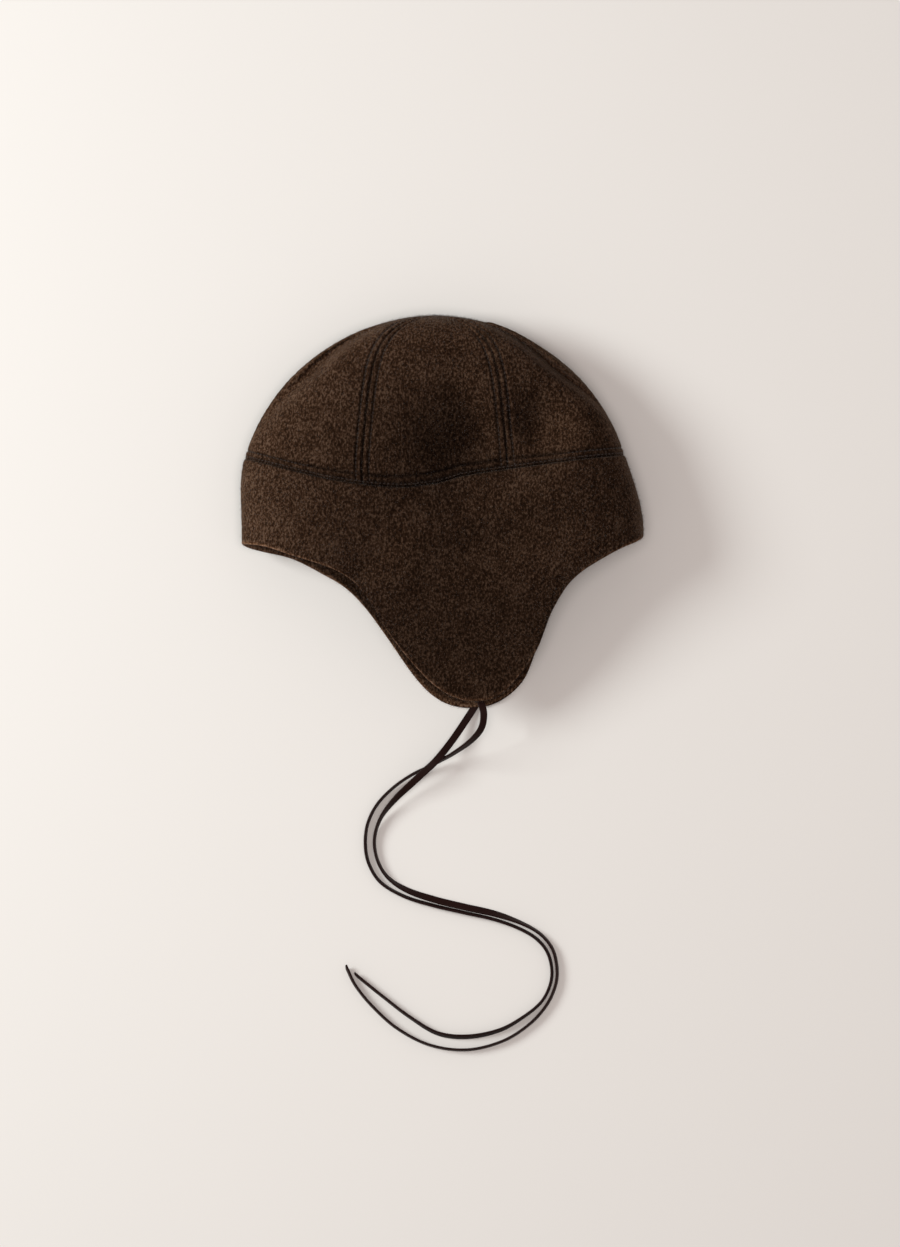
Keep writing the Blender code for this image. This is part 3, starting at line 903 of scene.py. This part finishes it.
def floor_finish(stage):
    """A smooth matt painted board."""
    finish = Finish("pale_floor", specular_ior_level=0.2)
    mottle = finish.noise(finish.place(), scale=9, detail=4.0, roughness=0.55)
    colour = finish.blend(mottle * FLOOR_MOTTLE, toned(stage.floor, 1), toned(stage.floor, FLOOR_TONE))
    return finish.shade(colour, roughness=0.85 + mottle * 0.05)


def dress(piece, node):
    """Puts a piece in its node's place."""
    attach(piece, BODY)
    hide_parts(node)


def shared(name, make, *values):
    """A material that several pieces share, made once."""
    return bpy.data.materials.get(name) or make(*values)


class HAT_OT_crown(bpy.types.Operator):
    """Cuts the six gores of the crown."""

    bl_idname = "hat.crown"
    bl_label = "Crown"

    def execute(self, context):
        cloth, seams = context.scene.hat_cloth, context.scene.hat_seams
        wool = shared("felted_wool", wool_finish, cloth)
        for side, word, side_grid, end_grid in (
            (NEAR, "near", NEAR_SIDE_GRID, NEAR_END_GRID),
            (FAR, "far", FAR_CROWN_GRID, FAR_CROWN_GRID),
        ):
            for end, first, second, grid in (
                ("front", front_fold, front_seam, end_grid),
                ("side", front_seam, back_seam, side_grid),
                ("back", back_seam, back_fold, end_grid),
            ):
                node = f"crown_{word}_{end}"
                place = crown_place(side, first, second)
                rims = ("gore", "gore", "foot", None)
                piece = cloth_piece(f"{node}_wool", side, place, grid, rims, wool, cloth, seams)
                dress(piece, node)
        return {"FINISHED"}


class HAT_OT_bands(bpy.types.Operator):
    """Cuts the band of each side with its ear flap."""

    bl_idname = "hat.bands"
    bl_label = "Bands and ear flaps"

    def execute(self, context):
        cloth, seams = context.scene.hat_cloth, context.scene.hat_seams
        wool = shared("felted_wool", wool_finish, cloth)
        for side, word, grid in ((NEAR, "near", NEAR_BAND_GRID), (FAR, "far", FAR_BAND_GRID)):
            node = f"band_flap_{word}"
            rims = ("fold", "fold", "free", "band")
            piece = cloth_piece(f"{node}_wool", side, band_place(side), grid, rims, wool, cloth, seams)
            dress(piece, node)
        return {"FINISHED"}


def stitch_rows(side, seams):
    """The lines of the topstitching on one side: a point and the way the cloth faces
    there, for many places along each row."""
    shares = np.linspace(0.0, 1.0, ROW_SAMPLES)
    top = math.acos(ROW_TOP * seams.gore_row / HALF_WIDTH)
    for seam, way in (
        (front_fold, 1), (front_seam, -1), (front_seam, 1),
        (back_seam, -1), (back_seam, 1), (back_fold, -1),
    ):
        foot = seam_level(side, seam_foot(side, seam)) + seams.band_row_low / CROWN_REACH
        levels = mix(foot, top, shares)
        around = beside(side, seam, levels, way * seams.gore_row)
        yield skin(side, around, levels), outward(side, around, levels)
    around = mix(FRONT, BACK, shares)
    for row in (seams.band_row_low, seams.band_row_high):
        levels = above(side, around, seam_level(side, around), row)
        yield skin(side, around, levels), outward(side, around, levels)


def stitch_places(points, facing, cloth, seams):
    """A matrix for each stitch of a row, which carries a unit ball to it."""
    far = running_length(points)
    count = int(far[-1] / seams.stitch_pitch)
    middles = (np.arange(count) + 0.5) * far[-1] / count

    def read(values, at):
        return np.stack([np.interp(at, far, values[:, axis]) for axis in range(3)], axis=-1)

    spots, ahead, out = read(points, middles), read(points, middles + STEP), read(facing, middles)
    size = Matrix.Diagonal((seams.stitch_length / 2, seams.thread, seams.thread * STITCH_FLATNESS, 1.0))
    for spot, next_spot, away in zip(spots, ahead, out):
        away = Vector(away).normalized()
        along = (Vector(next_spot) - Vector(spot)).normalized()
        turn = Matrix((along, away.cross(along).normalized(), away)).transposed().to_4x4()
        spot = Vector(spot) - away * cloth.groove_depth * STITCH_SINK
        spot.z = max(spot.z, seams.thread)
        yield Matrix.Translation(spot) @ turn @ size


def copies(form, places):
    """One copy of a small closed form for each matrix, all in one form."""
    copy_of = form.verts.layers.int.new("copy")
    made = 1
    while made < len(places):
        grown = bmesh.ops.duplicate(form, geom=form.verts[:] + form.edges[:] + form.faces[:])
        for item in grown["geom"]:
            if isinstance(item, bmesh.types.BMVert):
                item[copy_of] += made
        made *= 2
    spare = [vert for vert in form.verts if vert[copy_of] >= len(places)]
    bmesh.ops.delete(form, geom=spare, context="VERTS")
    for vert in form.verts:
        vert.co = places[vert[copy_of]] @ vert.co
    return form


class HAT_OT_stitches(bpy.types.Operator):
    """Sews the topstitching of each side."""

    bl_idname = "hat.stitches"
    bl_label = "Topstitching"

    def execute(self, context):
        cloth, seams = context.scene.hat_cloth, context.scene.hat_seams
        thread = shared("sewing_thread", thread_finish, seams)
        for side, word in ((NEAR, "near"), (FAR, "far")):
            spots = [spot for row in stitch_rows(side, seams) for spot in stitch_places(*row, cloth, seams)]
            ball = bmesh.new()
            bmesh.ops.create_uvsphere(ball, u_segments=6, v_segments=5, radius=1.0)
            piece = finished(f"topstitching_{word}", copies(ball, spots), thread)
            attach(piece, BODY)
        return {"FINISHED"}


def fibre_places(piece, share, fuzz, chance):
    """A matrix for each fibre on the outer face of a piece of cloth."""
    mesh = piece.data
    for face in chance.choice(len(mesh.polygons), size=share, replace=False).tolist():
        polygon = mesh.polygons[face]
        out = polygon.normal
        sway = Vector(chance.normal(0.0, fuzz.lean, 3).tolist())
        way = (out + (sway - out * min(0.0, out.dot(sway))) * FIBRE_SWAY).normalized()
        long = fuzz.length * mix(FIBRE_SHORTEST, 1.0, chance.random())
        if polygon.center.z + way.z * long < 0.0:
            way = Vector((way.x, way.y, 0.0)).normalized()
        size = Matrix.Diagonal((fuzz.radius, fuzz.radius, long, 1.0))
        middle = polygon.center + way * long * FIBRE_MIDDLE
        yield Matrix.Translation(middle) @ way.to_track_quat("Z", "Y").to_matrix().to_4x4() @ size


def lace_piece(name, route, laces, material):
    """A flat strip along its route, cut on the slant at the free end. Gives the piece
    and the points of its middle line."""
    heights = column(route, "height", LYING_HEIGHT)
    points = np.stack((column(route, "across"), column(route, "along"), heights), axis=-1)
    stops = running_length(points)
    fine = np.linspace(0, stops[-1], laces.steps + 1)
    middle = np.stack([curve_through(stops, points[:, axis], fine) for axis in range(3)], axis=-1)
    turn = np.radians(curve_through(stops, column(route, "turn", LYING_TURN), fine))[:, None]
    along = np.gradient(middle, axis=0)
    along /= np.linalg.norm(along, axis=1, keepdims=True)
    level_side = np.cross(along, (0.0, 0.0, 1.0))
    level_side /= np.linalg.norm(level_side, axis=1, keepdims=True)
    upright = np.cross(level_side, along)
    across = upright * np.cos(turn) + level_side * np.sin(turn)
    facing = np.cross(across, along)
    rim = laces.thickness * RIM_ROUNDNESS * LACE_RIM_SHARE
    half = laces.width / 2
    to_middle = np.array([half, half - rim / 3, half - rim, half / 2])
    lines = np.concatenate((-to_middle, [0.0], to_middle[::-1]))
    fall = rounding(half - np.abs(lines), rim)
    form = bmesh.new()
    layers = list(doubled_grid(form, laces.steps, len(lines) - 1))
    for (verts, spots), way in zip(layers, (1, -1)):
        for vert, (step, line) in zip(verts, spots):
            slanted = ease((step / laces.steps - SLANT_START) / (1 - SLANT_START))
            slant = laces.slant * (lines[line] / laces.width) * slanted
            height = way * (laces.thickness / 2 - fall[line])
            spot = middle[step] + across[step] * lines[line] + facing[step] * height + along[step] * slant
            vert.co = (spot[0], spot[1], max(spot[2], 0.0))
    turn_out(form)
    return finished(name, form, material), middle


class HAT_OT_fuzz(bpy.types.Operator):
    """Raises loose fibres out of the wool of each side."""

    bl_idname = "hat.fuzz"
    bl_label = "Fuzz"

    def execute(self, context):
        fuzz = context.scene.hat_fuzz
        fibre = shared("loose_fibres", fibre_finish, fuzz)
        chance = np.random.default_rng(FIBRE_SEED)
        for word in ("near", "far"):
            nodes = [f"crown_{word}_{end}" for end in ("front", "side", "back")] + [f"band_flap_{word}"]
            pieces = [bpy.data.objects[f"{node}_wool"] for node in nodes]
            weights = np.array([sum(p.area for p in piece.data.polygons) for piece in pieces])
            shares = (weights / weights.sum() * fuzz.count).astype(int)
            spots = [
                spot for piece, share in zip(pieces, shares)
                for spot in fibre_places(piece, int(share), fuzz, chance)
            ]
            spike = bmesh.new()
            bmesh.ops.create_cone(spike, cap_ends=True, segments=3, radius1=1.0, radius2=0.0, depth=1.0)
            piece = finished(f"fuzz_{word}", copies(spike, spots), fibre)
            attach(piece, BODY)
        return {"FINISHED"}


class HAT_OT_laces(bpy.types.Operator):
    """Cuts the two leather laces and lays them on the floor."""

    bl_idname = "hat.laces"
    bl_label = "Laces"

    def execute(self, context):
        laces = context.scene.hat_laces
        leather = shared("smooth_leather", leather_finish, laces)
        for word, route in (("near", NEAR_LACE_ROUTE), ("far", FAR_LACE_ROUTE)):
            piece, middle = lace_piece(f"lace_{word}_leather", route, laces, leather)
            dress(piece, f"lace_{word}")
            float(running_length(middle)[-1])
        return {"FINISHED"}


def soft_light(name, place, power, size, colour):
    """A round soft light that faces the middle of the view."""
    light = bpy.data.lights.new(name, "AREA")
    light.shape = "DISK"
    light.size = size
    light.energy = power
    light.color = colour
    lamp = bpy.data.objects.new(name, light)
    lamp.location = Vector(VIEW_MIDDLE) + place
    lamp.rotation_euler = place.to_track_quat("Z", "Y").to_euler()
    lamp.visible_camera = False
    bpy.context.scene.collection.objects.link(lamp)


class HAT_OT_stage(bpy.types.Operator):
    """Lays the floor and sets the light and the camera."""

    bl_idname = "hat.stage"
    bl_label = "Stage"

    def execute(self, context):
        scene = context.scene
        stage = scene.hat_stage
        form = bmesh.new()
        bmesh.ops.create_grid(form, x_segments=2, y_segments=2, size=FLOOR_SIZE / 2)
        finished("floor", form, floor_finish(stage))

        lens = bpy.data.cameras.new("camera")
        lens.sensor_width = SENSOR
        lens.lens = SENSOR * VIEW_DISTANCE / VIEW_LONG_SIDE
        lens.clip_end = 100.0
        camera = bpy.data.objects.new("camera", lens)
        camera.location = Vector(VIEW_MIDDLE) + Vector((0, 0, VIEW_DISTANCE))
        scene.collection.objects.link(camera)
        scene.camera = camera

        way = Vector((-math.cos(stage.key_height), KEY_SKEW, math.sin(stage.key_height))).normalized()
        soft_light("key", way * stage.key_distance, stage.key_power, stage.key_size, stage.key_colour)
        soft_light("top", Vector((0, 0, stage.top_height)), stage.top_power, TOP_SIZE, stage.room_colour)

        world = bpy.data.worlds.new("soft_room")
        world.use_nodes = True
        sky = world.node_tree.nodes["Background"]
        sky.inputs["Color"].default_value = (*stage.room_colour, 1.0)
        sky.inputs["Strength"].default_value = stage.ambient
        scene.world = world
        scene.view_settings.view_transform = "Standard"
        return {"FINISHED"}


class HAT_PT_panel(bpy.types.Panel):
    """Lists the steps that make the hat."""

    bl_idname = "HAT_PT_panel"
    bl_label = "Wool trapper hat"
    bl_space_type = "VIEW_3D"
    bl_region_type = "UI"
    bl_category = "Hat"

    def draw(self, context):
        for step in STEPS:
            self.layout.operator(step.bl_idname)
        for group, kind in SETTINGS.items():
            box = self.layout.box()
            for name in kind.__annotations__:
                box.prop(getattr(context.scene, group), name)


STEPS = (HAT_OT_stage, HAT_OT_laces, HAT_OT_crown, HAT_OT_bands, HAT_OT_stitches, HAT_OT_fuzz)
SETTINGS = {
    "hat_cloth": HatCloth, "hat_fuzz": HatFuzz, "hat_seams": HatSeams,
    "hat_laces": HatLaces, "hat_stage": HatStage,
}


def register():
    for made in (*SETTINGS.values(), *STEPS, HAT_PT_panel):
        bpy.utils.register_class(made)
    for name, group in SETTINGS.items():
        setattr(bpy.types.Scene, name, PointerProperty(type=group))


def unregister():
    for name in SETTINGS:
        delattr(bpy.types.Scene, name)
    for made in (HAT_PT_panel, *reversed(STEPS), *reversed(SETTINGS.values())):
        bpy.utils.unregister_class(made)


def main():
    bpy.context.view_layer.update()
    register()
    bpy.ops.hat.stage()
    bpy.ops.hat.laces()
    bpy.ops.hat.crown()
    bpy.ops.hat.bands()
    bpy.ops.hat.stitches()
    bpy.ops.hat.fuzz()


if __name__ == "__main__":
    main()
